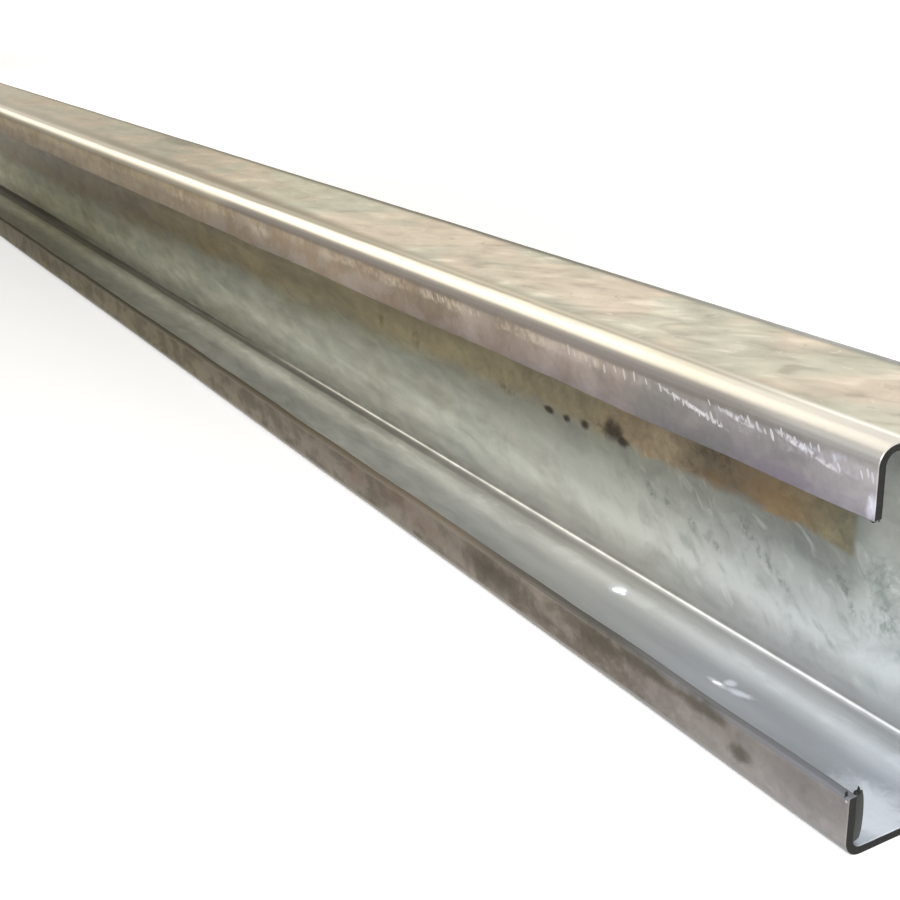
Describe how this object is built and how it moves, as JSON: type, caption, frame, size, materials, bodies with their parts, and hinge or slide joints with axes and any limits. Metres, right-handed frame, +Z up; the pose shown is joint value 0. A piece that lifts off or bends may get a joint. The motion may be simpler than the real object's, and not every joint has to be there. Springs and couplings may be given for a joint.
{
  "type": "lipped c-section profile",
  "caption": "Lipped C-section profile: straight galvanised steel stock with a flat web, flanges and inturned lips, used as a purlin, rail or frame member.",
  "frame": {"origin": "centre of the footprint, on the floor under the bottom flange", "axes": "+X along the length, +Y out of the back of the web, +Z up the web; the open side between the lips faces -Y"},
  "size_m": [3, 0.06, 0.12],
  "materials": {
    "galvanised_steel": "hot-dip galvanised, uneven satin zinc with warm stains"
  },
  "bodies": {
    "root": {"c_section": "galvanised_steel"}
  },
  "joints": []
}
